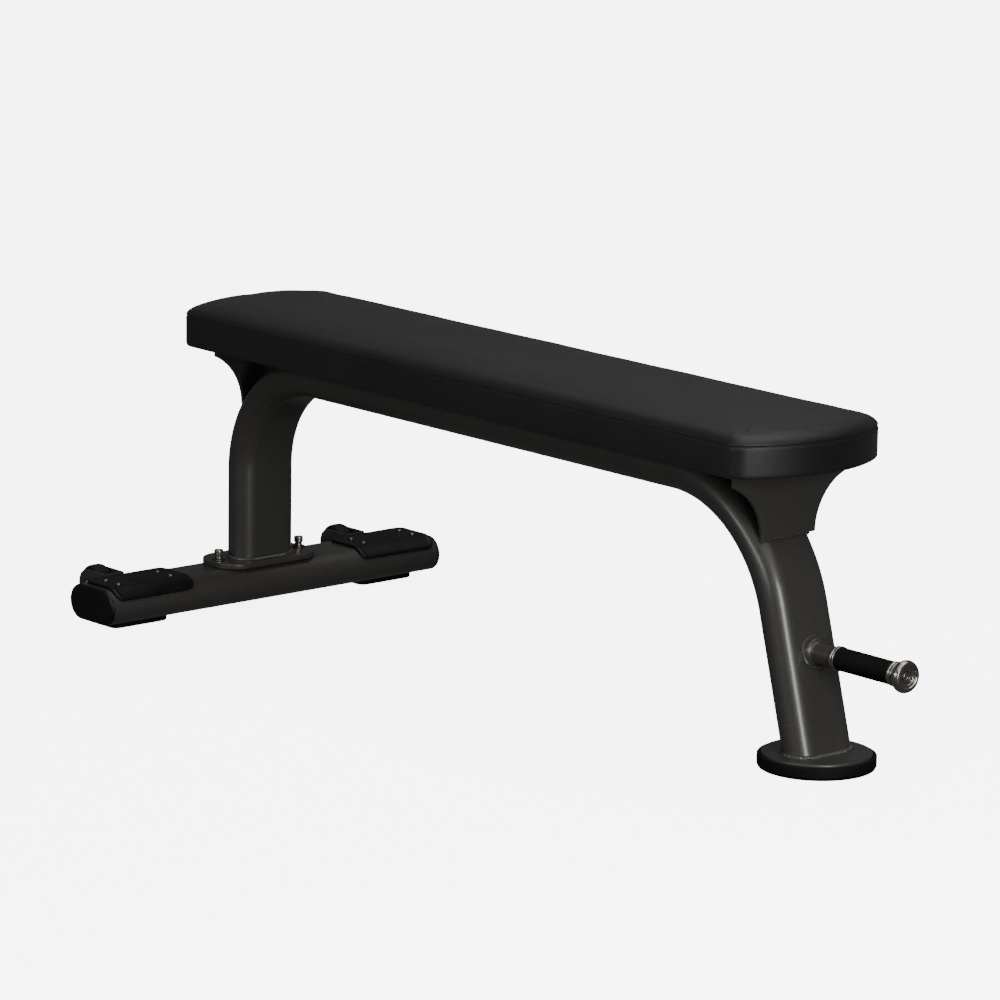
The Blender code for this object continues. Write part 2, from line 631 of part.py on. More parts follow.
def wheels():
    """A steel clevis behind the beam on each side, holding a wheel on an axle bolt."""
    ear_inside = HUB_WIDE / 2 + EAR_CLEAR
    web_face = -TUBE_WIDE / 2 - GAP
    hub_half = HUB_WIDE / 2
    tyre_half = WHEEL_WIDE / 2
    for name, side in SIDES:
        centre = at(WHEEL_X, side * WHEEL_Y, WHEEL_Z)
        reach = web_face - WHEEL_X
        ear = (arc((0, 0), EAR_R, math.pi / 2, 3 * math.pi / 2, 10)
               + [(reach - 0.001, -EAR_R), (reach - 0.001, EAR_R)])
        hole = circle((0, 0), AXLE_R + GAP, 16)
        plate = slab([ear, hole], EAR_THICK, EAR_EDGE)
        bracket_piece = place(f"wheel_bracket_{name}", plate, bench, frame_paint,
                              centre + Vector((0, -(ear_inside + EAR_THICK / 2), 0)), FACING_Y)
        mate = place(f"wheel_ear_{name}", slab([ear, hole], EAR_THICK, EAR_EDGE), cutters, None,
                     centre + Vector((0, ear_inside + EAR_THICK / 2, 0)), FACING_Y)
        web = block(f"wheel_web_{name}", centre + Vector((reach - WEB_THICK / 2, 0, 0)),
                    (WEB_THICK, 2 * (ear_inside + EAR_THICK) - 0.001, 2 * EAR_R - 0.002), cutters)
        boolean(bracket_piece, web, "UNION")
        boolean(bracket_piece, as_cutter(mate), "UNION")
        inner = HUB_R + GAP
        edge_r = WHEEL_R - TYRE_CROWN
        shoulder_r = WHEEL_R - TYRE_CROWN / 4
        shoulder = tyre_half - 0.003
        tyre = [(edge_r, tyre_half), (shoulder_r, shoulder), (WHEEL_R, 0), (shoulder_r, -shoulder),
                (edge_r, -tyre_half), (inner, -tyre_half), (inner, tyre_half)]
        turned(f"wheel_tyre_{name}", tyre, bench, black_rubber, centre, ALONG_Y, steps=32, ring=True)
        boss = BUSH_R + HUB_BOSS
        bore = BUSH_R + GAP
        rim = HUB_R - HUB_LIP
        dish = tyre_half - HUB_DISH
        hub = [(HUB_R, tyre_half), (HUB_R, -tyre_half), (rim, -dish), (boss, -dish), (bore, -tyre_half),
               (bore, tyre_half), (boss, dish), (rim, dish)]
        turned(f"wheel_hub_{name}", hub, bench, black_plastic, centre, ALONG_Y, ring=True)
        bush = [(BUSH_R, hub_half), (BUSH_R, -hub_half), (BUSH_BORE_R, -hub_half), (BUSH_BORE_R, hub_half)]
        turned(f"wheel_bush_{name}", bush, bench, bronze, centre, ALONG_Y, ring=True)
        outer = ear_inside + EAR_THICK + GAP
        top = outer + AXLE_HEAD_HIGH
        tail = -outer - AXLE_TAIL
        bolt = [(0, top), (AXLE_HEAD_R - 0.0015, top), (AXLE_HEAD_R, top - 0.001), (AXLE_HEAD_R, outer),
                (AXLE_R, outer), (AXLE_R, tail), (0, tail)]
        head_out = (side * ALONG_Y[0], 0.0, 0.0)
        turned(f"wheel_axle_bolt_{name}", bolt, bench, zinc_steel, centre, head_out)
        nut = slab([circle((0, 0), AXLE_NUT_R, 6), circle((0, 0), AXLE_R + GAP)], AXLE_NUT_HIGH)
        place(f"wheel_axle_nut_{name}", nut, bench, zinc_steel,
              centre + Vector((0, -side * (outer + AXLE_NUT_HIGH / 2), 0)), FACING_Y)


def handle():
    """A core bar out of the leg, threaded with collar, grip, ring and end cap, held by a socket screw."""
    core_end = HANDLE_END - HANDLE_CORE_SHORT
    start = at(0, 0, HANDLE_Z)
    stub_profile = [(0, core_end), (HANDLE_CORE_R - 0.001, core_end), (HANDLE_CORE_R, core_end - 0.001),
                    (HANDLE_CORE_R, HANDLE_STUB_END), (HANDLE_STUB_R, HANDLE_STUB_END),
                    (HANDLE_STUB_R, HANDLE_NECK_START), (HANDLE_ROOT_R, HANDLE_ROOT_END),
                    (HANDLE_ROOT_R, HANDLE_INSIDE), (0, HANDLE_INSIDE)]
    stub = turned("handle_bar", stub_profile, bench, frame_paint, start, ALONG_X)
    face_x = LEG_FLOOR_X - math.tan(LEAN) * HANDLE_Z + (TUBE_R + GAP) / math.cos(LEAN)
    deep = 0.08
    slope = Matrix.Rotation(-LEAN, 3, "Y")
    away = slope @ Vector((-deep / 2, 0, 0))
    boolean(stub, block("leg_face_cutter", at(face_x, 0, HANDLE_Z) + away, (deep, 0.1, 0.16), cutters, slope))
    screw_hole = cylinders("handle_screw_cutter", [Vector((0, 0, 0))], CAP_SCREW_R + GAP, 0.05, cutters)
    screw_hole.location = at(core_end, 0, HANDLE_Z)
    screw_hole.rotation_euler = ALONG_X
    boolean(stub, screw_hole)
    bore = HANDLE_CORE_R + GAP
    rounds = (("handle_inner_collar", HANDLE_COLLAR_R, HANDLE_STUB_END, HANDLE_COLLAR_END, polished_steel),
              ("handle_grip", HANDLE_GRIP_R, HANDLE_COLLAR_END, HANDLE_GRIP_END, black_rubber),
              ("handle_outer_collar", HANDLE_COLLAR_R, HANDLE_GRIP_END, HANDLE_RING_END, polished_steel))
    for name, radius, low, high, paint in rounds:
        profile = ring_profile(radius, bore, low + GAP, high, 0.001)
        turned(name, profile, bench, paint, start, ALONG_X, ring=True)
    low = HANDLE_RING_END + GAP
    end = HANDLE_END
    mouth = end - CAP_MOUTH
    hole = CAP_SCREW_R + 2 * GAP
    cap = [(0.0155, end - 0.0020), (0.0170, end), (0.0192, end - 0.0010), (HANDLE_CAP_R - 0.0006, end - 0.0035),
           (HANDLE_CAP_R, end - 0.0065), (HANDLE_CAP_R - 0.0008, end - 0.0100), (0.0185, end - 0.0130),
           (0.0165, low + 0.0020), (0.0155, low), (bore, low), (bore, core_end + GAP), (hole, core_end + GAP),
           (hole, mouth + 0.0030), (0.0120, mouth + 0.0060)]
    turned("handle_end_cap", cap, bench, polished_steel, start, ALONG_X, ring=True)
    head = mouth + 0.0075
    seat = mouth + 0.0051
    tail = core_end - CAP_SCREW_DEEP
    socket = head - 0.0020
    screw = [(0, socket), (0.0025, socket), (0.0025, head), (CAP_SCREW_HEAD_R - 0.001, head),
             (CAP_SCREW_HEAD_R, head - 0.0010), (CAP_SCREW_HEAD_R, seat), (CAP_SCREW_R, seat),
             (CAP_SCREW_R, tail), (0, tail)]
    turned("handle_cap_screw", screw, bench, polished_steel, start, ALONG_X, steps=18)


main_frame()
rear_beam()
flange()
front_foot()
front_holes = bracket("front_bracket", FRONT_BRACKET_X, 1, FRONT_BRACKET_TOP, FRONT_BRACKET_NECK)
rear_holes = bracket("rear_bracket", REAR_BRACKET_X, -1, REAR_BRACKET_TOP, REAR_BRACKET_NECK)
mounting_bar()
pad(front_holes + rear_holes)
guards()
wheels()
handle()
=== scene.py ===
"""Looks of the flat weight bench: painted flat-oval tube, vinyl pad, moulded guards, polished handle.

Metres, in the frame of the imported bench: +X runs from the rear beam to the front foot, +Z up.
"""
import json
import math
import random

import bmesh
import bpy
from mathutils import Matrix, Vector


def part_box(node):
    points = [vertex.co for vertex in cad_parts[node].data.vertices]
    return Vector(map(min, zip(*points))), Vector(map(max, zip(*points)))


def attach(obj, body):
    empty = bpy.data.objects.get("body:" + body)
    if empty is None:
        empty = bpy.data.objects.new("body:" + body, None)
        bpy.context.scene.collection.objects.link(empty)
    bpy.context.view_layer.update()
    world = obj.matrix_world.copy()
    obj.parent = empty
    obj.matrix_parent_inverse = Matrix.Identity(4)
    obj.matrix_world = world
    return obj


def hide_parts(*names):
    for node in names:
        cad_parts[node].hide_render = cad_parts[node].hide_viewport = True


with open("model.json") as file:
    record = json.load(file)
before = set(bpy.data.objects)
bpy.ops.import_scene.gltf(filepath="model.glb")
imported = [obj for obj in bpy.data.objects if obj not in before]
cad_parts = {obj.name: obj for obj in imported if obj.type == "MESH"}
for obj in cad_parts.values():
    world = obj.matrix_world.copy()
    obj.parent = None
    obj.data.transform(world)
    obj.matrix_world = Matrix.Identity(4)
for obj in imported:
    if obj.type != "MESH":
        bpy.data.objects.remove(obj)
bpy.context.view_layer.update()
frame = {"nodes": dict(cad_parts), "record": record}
NODES = frame["nodes"]
scene = bpy.context.scene
SIDES = (("left", 1), ("right", -1))
GAP = 0.0003                # metres, left between pieces that are fixed together


def middle(node):
    """The centre of a node's box."""
    low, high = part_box(node)
    return (low + high) / 2


def size(node):
    """The lengths of a node's box."""
    low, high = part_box(node)
    return high - low


# ---------------------------------------------------------------- camera and light

LENS = 194.84               # mm, for a sensor 36 mm wide
CAMERA_PLACE = (5.28035, -4.61399, 1.76705)
AZIMUTH = math.radians(49.23)
ELEVATION = math.radians(12.228)
ROLL = math.radians(0.871)


def make_camera():
    """The camera at its place, turned by its azimuth, its elevation and then its roll."""
    data = bpy.data.cameras.new("camera")
    data.sensor_width = 36.0
    data.lens = LENS
    data.clip_end = 100.0
    camera = bpy.data.objects.new("camera", data)
    scene.collection.objects.link(camera)
    ahead = Vector((-math.sin(AZIMUTH) * math.cos(ELEVATION), math.cos(AZIMUTH) * math.cos(ELEVATION),
                    -math.sin(ELEVATION)))
    right = Vector((math.cos(AZIMUTH), math.sin(AZIMUTH), 0.0))
    above = right.cross(ahead)
    turned_right = math.cos(ROLL) * right + math.sin(ROLL) * above
    turned_up = -math.sin(ROLL) * right + math.cos(ROLL) * above
    basis = Matrix((turned_right, turned_up, -ahead)).transposed().to_4x4()
    camera.matrix_world = Matrix.Translation(CAMERA_PLACE) @ basis
    scene.camera = camera


def softbox(name, place, aim, wide, high, power):
    """A rectangular soft light of so many watts, aimed at a point."""
    data = bpy.data.lights.new(name, "AREA")
    data.shape = "RECTANGLE"
    data.size = wide
    data.size_y = high
    data.energy = power
    lamp = bpy.data.objects.new(name, data)
    scene.collection.objects.link(lamp)
    lamp.location = place
    lamp.rotation_mode = "QUATERNION"
    lamp.rotation_quaternion = (Vector(aim) - Vector(place)).to_track_quat("-Z", "Y")


# ---------------------------------------------------------------- materials

def add(tree, kind, inputs=None, links=None, **settings):
    """A node with its settings, its plain input values and its links."""
    made = tree.nodes.new("ShaderNode" + kind)
    for key, value in settings.items():
        setattr(made, key, value)
    for socket, value in (inputs or {}).items():
        made.inputs[socket].default_value = value
    for socket, source in (links or {}).items():
        tree.links.new(source, made.inputs[socket])
    return made


def colour(code):
    """An sRGB hex colour as linear RGBA."""
    parts = [int(code[i:i + 2], 16) / 255 for i in (1, 3, 5)]
    return [c / 12.92 if c <= 0.04045 else ((c + 0.055) / 1.055) ** 2.4 for c in parts] + [1.0]


def per_mm(size_mm):
    """Texture scale, in cells to the metre, for a feature of that many millimetres."""
    return 1000.0 / size_mm


def surface(name, metallic=0.0, ior=1.5, **sockets):
    """A material and its shader, with the node tree and the object's own coordinates to build on."""
    made = bpy.data.materials.new(name)
    made.use_nodes = True
    tree = made.node_tree
    shader = tree.nodes["Principled BSDF"]
    shader.inputs["Metallic"].default_value = metallic
    shader.inputs["IOR"].default_value = ior
    for socket, value in sockets.items():
        shader.inputs[socket.replace("_", " ")].default_value = value
    place = add(tree, "TexCoord").outputs["Object"]
    return made, tree, shader, place


def tinted(tree, shader, factor, codes, socket="Base Color"):
    """Colours spread over a factor from 0 to 1, sent to the shader."""
    ramp = add(tree, "ValToRGB", links={"Fac": factor})
    stops = ramp.color_ramp.elements
    stops[0].position, stops[0].color = codes[0][0], colour(codes[0][1])
    stops[1].position, stops[1].color = codes[-1][0], colour(codes[-1][1])
    for position, code in codes[1:-1]:
        stops.new(position).color = colour(code)
    tree.links.new(ramp.outputs["Color"], shader.inputs[socket])


def rough(tree, shader, factor, low, high):
    """Roughness from low to high over a factor from 0 to 1."""
    spread = add(tree, "MapRange", {"To Min": low, "To Max": high}, {"Value": factor})
    tree.links.new(spread.outputs["Result"], shader.inputs["Roughness"])


def bumped(tree, shader, heights):
    """Bumps of (height source, depth in metres, strength), one on another."""
    last = None
    for height, depth, strength in heights:
        links = {"Height": height}
        if last:
            links["Normal"] = last
        last = add(tree, "Bump", {"Distance": depth, "Strength": strength}, links).outputs["Normal"]
    tree.links.new(last, shader.inputs["Normal"])


def powder_coat():
    """Charcoal powder coat, sprayed dry and baked: metal flake in a glossy skin with a faint orange peel."""
    made, tree, shader, place = surface("charcoal_powder_coat", metallic=0.25,
                                        Coat_Weight=0.45, Coat_Roughness=0.2)
    flake = add(tree, "TexNoise", {"Scale": per_mm(0.8), "Detail": 2.0}, {"Vector": place})
    cloud = add(tree, "TexNoise", {"Scale": per_mm(60), "Detail": 3.0}, {"Vector": place})
    peel = add(tree, "TexNoise", {"Scale": per_mm(2.2), "Detail": 1.0}, {"Vector": place})
    tinted(tree, shader, flake.outputs["Fac"], [(0.25, "#353432"), (0.5, "#403F3C"), (0.75, "#52504D")])
    rough(tree, shader, cloud.outputs["Fac"], 0.34, 0.46)
    bumped(tree, shader, [(peel.outputs["Fac"], 0.0003, 0.10), (flake.outputs["Fac"], 0.0001, 0.10)])
    return made


def grained_vinyl():
    """Upholstery vinyl: calendered PVC with an embossed leather grain and a faint sheen."""
    made, tree, shader, place = surface("black_upholstery_vinyl", Sheen_Weight=0.05, Sheen_Roughness=0.5)
    wander = add(tree, "TexNoise", {"Scale": per_mm(6), "Detail": 2.0}, {"Vector": place})
    bent = add(tree, "VectorMath", {1: (0.0012, 0.0012, 0.0012)}, {0: wander.outputs["Color"]},
               operation="MULTIPLY")
    moved = add(tree, "VectorMath", links={0: place, 1: bent.outputs["Vector"]}, operation="ADD")
    grain = add(tree, "TexVoronoi", {"Scale": per_mm(1.6)}, {"Vector": moved.outputs["Vector"]},
                feature="DISTANCE_TO_EDGE")
    plump = add(tree, "MapRange", {"From Max": 0.35}, {"Value": grain.outputs["Distance"]})
    pores = add(tree, "TexNoise", {"Scale": per_mm(0.7), "Detail": 3.0}, {"Vector": place})
    cloud = add(tree, "TexNoise", {"Scale": per_mm(90), "Detail": 4.0}, {"Vector": place})
    tinted(tree, shader, cloud.outputs["Fac"], [(0.3, "#0F0F0F"), (0.7, "#141414")])
    rough(tree, shader, cloud.outputs["Fac"], 0.42, 0.52)
    bumped(tree, shader, [(plump.outputs["Result"], 0.00018, 0.45), (pores.outputs["Fac"], 0.0001, 0.25)])
    return made


def stitching_thread():
    """Bonded polyester thread: twisted strands, a little lighter than the vinyl."""
    made, tree, shader, place = surface("bonded_thread")
    twist = add(tree, "TexNoise", {"Scale": per_mm(0.5), "Detail": 2.0}, {"Vector": place})
    tinted(tree, shader, twist.outputs["Fac"], [(0.3, "#1C1C1C"), (0.7, "#333231")])
    rough(tree, shader, twist.outputs["Fac"], 0.55, 0.75)
    bumped(tree, shader, [(twist.outputs["Fac"], 0.0002, 0.4)])
    return made


def moulded_rubber():
    """Natural rubber, compression moulded: matt black with a dusty bloom and a fine mould texture."""
    made, tree, shader, place = surface("moulded_rubber", ior=1.52, Specular_IOR_Level=0.2)
    bloom = add(tree, "TexNoise", {"Scale": per_mm(18), "Detail": 5.0}, {"Vector": place})
    skin = add(tree, "TexNoise", {"Scale": per_mm(0.9), "Detail": 3.0}, {"Vector": place})
    tinted(tree, shader, bloom.outputs["Fac"], [(0.3, "#060606"), (0.7, "#0C0C0C")])
    rough(tree, shader, bloom.outputs["Fac"], 0.62, 0.78)
    bumped(tree, shader, [(skin.outputs["Fac"], 0.0002, 0.35)])
    return made


def tyre_rubber():
    """Soft wheel rubber: matt black, scuffed a little greyer in patches."""
    made, tree, shader, place = surface("tyre_rubber", ior=1.52, Specular_IOR_Level=0.3)
    scuff = add(tree, "TexNoise", {"Scale": per_mm(7), "Detail": 6.0, "Roughness": 0.7}, {"Vector": place})
    tinted(tree, shader, scuff.outputs["Fac"], [(0.35, "#0A0A0A"), (0.8, "#151515")])
    rough(tree, shader, scuff.outputs["Fac"], 0.6, 0.8)
    bumped(tree, shader, [(scuff.outputs["Fac"], 0.0004, 0.3)])
    return made


def moulded_plastic():
    """Black polypropylene, injection moulded in a spark-eroded tool: an even, slightly glossy stipple."""
    made, tree, shader, place = surface("moulded_polypropylene", ior=1.49, Specular_IOR_Level=0.35)
    stipple = add(tree, "TexVoronoi", {"Scale": per_mm(1.1)}, {"Vector": place}, feature="SMOOTH_F1")
    flow = add(tree, "TexNoise", {"Scale": per_mm(30), "Detail": 3.0}, {"Vector": place})
    tinted(tree, shader, flow.outputs["Fac"], [(0.3, "#0B0B0B"), (0.7, "#121212")])
    rough(tree, shader, flow.outputs["Fac"], 0.34, 0.46)
    bumped(tree, shader, [(stipple.outputs["Distance"], 0.0002, 0.22)])
    return made


def polished_steel():
    """Chromium plate over turned steel: bright, a little wavy from the polishing, with small stains."""
    made, tree, shader, place = surface("chromed_turned_steel", metallic=1.0)
    stain = add(tree, "TexNoise", {"Scale": per_mm(9), "Detail": 4.0}, {"Vector": place})
    waves = add(tree, "TexNoise", {"Scale": per_mm(0.6), "Detail": 1.0}, {"Vector": place})
    tinted(tree, shader, stain.outputs["Fac"], [(0.3, "#A29E96"), (0.7, "#BDB9B1")])
    rough(tree, shader, stain.outputs["Fac"], 0.20, 0.32)
    bumped(tree, shader, [(waves.outputs["Fac"], 0.00005, 0.15)])
    return made


def zinc_plate():
    """Zinc-plated fastener steel: grey, slightly blotched from the bath."""
    made, tree, shader, place = surface("zinc_plated_steel", metallic=1.0)
    blotch = add(tree, "TexNoise", {"Scale": per_mm(4), "Detail": 4.0}, {"Vector": place})
    tinted(tree, shader, blotch.outputs["Fac"], [(0.3, "#5C5B58"), (0.7, "#7D7C78")])
    rough(tree, shader, blotch.outputs["Fac"], 0.28, 0.42)
    bumped(tree, shader, [(blotch.outputs["Fac"], 0.0001, 0.15)])
    return made


def stained_plywood():
    """Rotary-cut plywood, stained black before the cover is stapled on: long grain lines along the sheet."""
    made, tree, shader, place = surface("stained_plywood")
    stretched = add(tree, "Mapping", {"Scale": (0.04, 1.0, 1.0)}, {"Vector": place})
    grain = add(tree, "TexNoise", {"Scale": per_mm(4), "Detail": 6.0},
                {"Vector": stretched.outputs["Vector"]})
    tinted(tree, shader, grain.outputs["Fac"], [(0.3, "#100E0C"), (0.7, "#1E1A16")])
    rough(tree, shader, grain.outputs["Fac"], 0.6, 0.75)
    bumped(tree, shader, [(grain.outputs["Fac"], 0.0002, 0.3)])
    return made


def sintered_bronze():
    """Oil-filled sintered bronze: dull gold with fine pores."""
    made, tree, shader, place = surface("sintered_bronze", metallic=1.0)
    pores = add(tree, "TexNoise", {"Scale": per_mm(0.5), "Detail": 3.0}, {"Vector": place})
    tinted(tree, shader, pores.outputs["Fac"], [(0.3, "#7A5C34"), (0.7, "#A5814D")])
    rough(tree, shader, pores.outputs["Fac"], 0.35, 0.5)
    bumped(tree, shader, [(pores.outputs["Fac"], 0.0001, 0.3)])
    return made


COAT = powder_coat()
VINYL = grained_vinyl()
THREAD = stitching_thread()
RUBBER = moulded_rubber()
TYRE = tyre_rubber()
PLASTIC = moulded_plastic()
CHROME = polished_steel()
ZINC = zinc_plate()
PLY = stained_plywood()
BRONZE = sintered_bronze()
# The foam is always covered, so it takes the cover's finish.
FINISHES = {"frame_paint": COAT, "black_rubber": RUBBER, "wheel_rubber": TYRE, "black_plastic": PLASTIC,
            "polished_steel": CHROME, "zinc_steel": ZINC, "pad_vinyl": VINYL, "pad_foam": VINYL,
            "plywood": PLY, "bronze": BRONZE}


def finish_frame():
    """Every node of the frame takes the finish of its slot."""
    for part in frame["record"]["subparts"]:
        node = NODES[part["node"]]
        node.data.materials.clear()
        node.data.materials.append(FINISHES[part["material_slot"]])


# ---------------------------------------------------------------- shapes

def arc(centre, radius, start, end, steps):
    """Points along an arc between two angles, both ends included."""
    return [(centre[0] + radius * math.cos(start + (end - start) * i / steps),
             centre[1] + radius * math.sin(start + (end - start) * i / steps)) for i in range(steps + 1)]


def circle(centre, radius, steps=48):
    return arc(centre, radius, 0.0, 2 * math.pi, steps)[:-1]


def eased(points, radius, steps=3):
    """A closed outline with its corners rounded; points on the axis stay sharp."""
    out = []
    count = len(points)
    for i, (u, v) in enumerate(points):
        before, after = points[i - 1], points[(i + 1) % count]
        if abs(u) < 1e-7:
            out.append((u, v))
            continue
        cut = []
        for other in (before, after):
            gap = math.dist((u, v), other)
            share = min(radius, 0.45 * gap) / gap
            cut.append((u + (other[0] - u) * share, v + (other[1] - v) * share))
        for k in range(steps + 1):
            t = k / steps
            out.append(tuple((1 - t) ** 2 * cut[0][n] + 2 * t * (1 - t) * (u, v)[n] + t * t * cut[1][n]
                             for n in (0, 1)))
    return out


def piece(name, mesh, slot, body="frame", stands_for=(), material=None):
    """A finished piece: shaded, coloured and fixed to its body."""
    mesh.name = name
    made = bpy.data.objects.new(name, mesh)
    scene.collection.objects.link(made)
    mesh.materials.clear()
    mesh.materials.append(material or FINISHES[slot])
    mesh.shade_smooth()
    mesh.set_sharp_from_angle(angle=math.radians(40))
    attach(made, body)
    if stands_for:
        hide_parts(*stands_for)
    return made


def to_mesh(shape):
    """A mesh from an edited shape, with its faces turned outward."""
    bmesh.ops.recalc_face_normals(shape, faces=shape.faces)
    mesh = bpy.data.meshes.new("shape")
    shape.to_mesh(mesh)
    shape.free()
    return mesh


def lathe(profile, axis, centre, steps=72, ring=False):
    """A turned solid about X, Y or Z from its (radius, height) outline, which a ring closes on itself."""
    shape = bmesh.new()
    loops = []
    for r, h in profile:
        if r < 1e-7:
            loops.append([shape.verts.new(spun(0, h, 0, axis, centre))])
            continue
        loops.append([shape.verts.new(spun(r, h, 2 * math.pi * i / steps, axis, centre))
                      for i in range(steps)])
    pairs = list(zip(loops, loops[1:]))
    if ring:
        pairs.append((loops[-1], loops[0]))
    for first, second in pairs:
        for i in range(steps):
            j = (i + 1) % steps
            corners = []
            for vert in (first[i % len(first)], first[j % len(first)], second[j % len(second)],
                         second[i % len(second)]):
                if vert not in corners:
                    corners.append(vert)
            if len(corners) > 2:
                shape.faces.new(corners)
    return to_mesh(shape)


def spun(r, h, angle, axis, centre):
    """A point of a turned outline, at an angle about the axis through the centre."""
    u, v = r * math.cos(angle), r * math.sin(angle)
    spot = {"X": (h, u, v), "Y": (u, h, v), "Z": (u, v, h)}[axis]
    return Vector(spot) + Vector(centre)


def plate(outlines, thickness, edge, place):
    """A flat piece with holes and rounded edges, put in place by a matrix."""
    curve = bpy.data.curves.new("outline", "CURVE")
    curve.dimensions = "2D"
    for points in outlines:
        spline = curve.splines.new("POLY")
        spline.points.add(len(points) - 1)
        for spot, (u, v) in zip(spline.points, points):
            spot.co = (u, v, 0, 1)
        spline.use_cyclic_u = True
    curve.fill_mode = "BOTH"
    curve.extrude = thickness / 2 - edge
    curve.bevel_depth = edge
    curve.offset = -edge
    curve.bevel_resolution = 3
    holder = bpy.data.objects.new("outline", curve)
    scene.collection.objects.link(holder)
    bpy.context.view_layer.update()
    mesh = bpy.data.meshes.new_from_object(holder.evaluated_get(bpy.context.evaluated_depsgraph_get()))
    bpy.data.objects.remove(holder, do_unlink=True)
    shape = bmesh.new()
    shape.from_mesh(mesh)
    bmesh.ops.remove_doubles(shape, verts=shape.verts, dist=0.00001)
    bmesh.ops.transform(shape, matrix=place, verts=shape.verts)
    return to_mesh(shape)


def loft(rings, closed_by="bridge"):
    """A skin through rings of equal count, with ends closed by a cap or by bridges across the long axis."""
    shape = bmesh.new()
    loops = [[shape.verts.new(point) for point in ring] for ring in rings]
    count = len(rings[0])
    for low, high in zip(loops, loops[1:]):
        for i in range(count):
            j = (i + 1) % count
            shape.faces.new((low[i], low[j], high[j], high[i]))
    for end in (loops[0], loops[-1]):
        if closed_by == "cap":
            shape.faces.new(end)
            continue
        for i in range(count // 2):
            corners = [end[i], end[i + 1], end[(count - i - 1) % count], end[(count - i) % count]]
            unique = list(dict.fromkeys(corners))
            if len(unique) > 2:
                shape.faces.new(unique)
    return to_mesh(shape)


def quarter_ring(quarter):
    """A whole ring from its first quarter, which runs from the long axis to the short one."""
    upper = quarter + [(-u, v) for u, v in reversed(quarter[:-1])]
    return upper + [(u, -v) for u, v in reversed(upper[1:-1])]


def box_ring(half_u, half_v, corner, ends=12, corners=6, sides=24):
    """A rounded rectangle, starting at the middle of its +u end."""
    corner = max(corner, 0.0004)
    quarter = [(half_u, (half_v - corner) * i / ends) for i in range(ends)]
    quarter += arc((half_u - corner, half_v - corner), corner, 0.0, math.pi / 2, corners)
    quarter += [((half_u - corner) * (1 - i / sides), half_v) for i in range(1, sides + 1)]
    return quarter_ring(quarter)


def bead(points, radius, up, closed=True, pitch=0.0032):
    """A weld bead along a path: a low rounded string with the ripples of its puddles."""
    shape = bmesh.new()
    count = len(points)
    rows = []
    run = 0.0
    sides = 8               # of the string's section
    for i, spot in enumerate(points):
        before = points[i - 1] if closed or i else points[i]
        after = points[(i + 1) % count] if closed or i < count - 1 else points[i]
        along = (Vector(after) - Vector(before)).normalized()
        out = along.cross(Vector(up)).normalized()
        over = out.cross(along).normalized()
        if i:
            run += (Vector(spot) - Vector(points[i - 1])).length
        swell = radius * (0.84 + 0.20 * abs(math.sin(math.pi * run / pitch)))
        if not closed:
            swell *= min(1.0, 0.35 + 0.2 * min(i, count - 1 - i))
        rows.append([shape.verts.new(Vector(spot) + out * swell * math.cos(a) + over * swell * math.sin(a))
                     for a in (2 * math.pi * k / sides for k in range(sides))])
    pairs = list(zip(rows, rows[1:]))
    if closed:
        pairs.append((rows[-1], rows[0]))
    for first, second in pairs:
        for k in range(sides):
            j = (k + 1) % sides
            shape.faces.new((first[k], first[j], second[j], second[k]))
    if not closed:
        shape.faces.new(rows[0])
        shape.faces.new(rows[-1])
    return to_mesh(shape)


def evenly(points, step, closed=True):
    """Points spaced evenly along a path."""
    chain = [Vector(p) for p in points] + ([Vector(points[0])] if closed else [])
    lengths = [0.0]
    for a, b in zip(chain, chain[1:]):
        lengths.append(lengths[-1] + (b - a).length)
    count = max(4, round(lengths[-1] / step))
    out = []
    k = 0
    for i in range(count if closed else count + 1):
        want = lengths[-1] * i / count
        while k < len(lengths) - 2 and lengths[k + 1] < want:
            k += 1
        span = lengths[k + 1] - lengths[k]
        out.append(chain[k].lerp(chain[k + 1], (want - lengths[k]) / span if span else 0.0))
    return out


# ---------------------------------------------------------------- sizes from the frame

BEAM = middle("rear_beam_tube")
BEAM_SIZE = size("rear_beam_tube")
TUBE_R = BEAM_SIZE.z / 2
TUBE_REACH = (BEAM_SIZE.x - BEAM_SIZE.z) / 2
FLANGE_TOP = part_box("upright_flange_plate")[1].z
FOOT = middle("front_foot_plate")
FOOT_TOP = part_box("front_foot_plate")[1].z
SPINE_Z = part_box("main_frame_tube")[1].z - TUBE_R
UPRIGHT_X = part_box("main_frame_tube")[0].x + TUBE_R
REAR_BEND = 0.150
FRONT_BEND = 0.200
EDGE = 0.0004               # of a sawn tube's ends
GUARD_CORNER = 0.012
FLANGE_CORNER = 0.036
BOLT_STAND = 0.013          # of a flange bolt's head above its washer
BRACKET_THICK = 0.006
BRACKET_SHOULDER = 0.019    # from a bracket's top down to where its flare starts
FRONT_NECK = 0.046          # half widths of the brackets' feet
REAR_NECK = 0.030
FRONT_WELD_HALF = 0.043
STUB_WELD_R = 0.0195
SLEEVE_BORE = 0.0103        # radius inside the grip and its collars
LEAN = 0.27                 # of the front leg from upright, radians
LEG_FLOOR_X = BEAM.x + 1.144


def oval(reach, radius, steps=20):
    """The tube's section: straight sides and round ends, the long way along u."""
    return (arc((reach, 0), radius, -math.pi / 2, math.pi / 2, steps)
            + arc((-reach, 0), radius, math.pi / 2, 3 * math.pi / 2, steps))


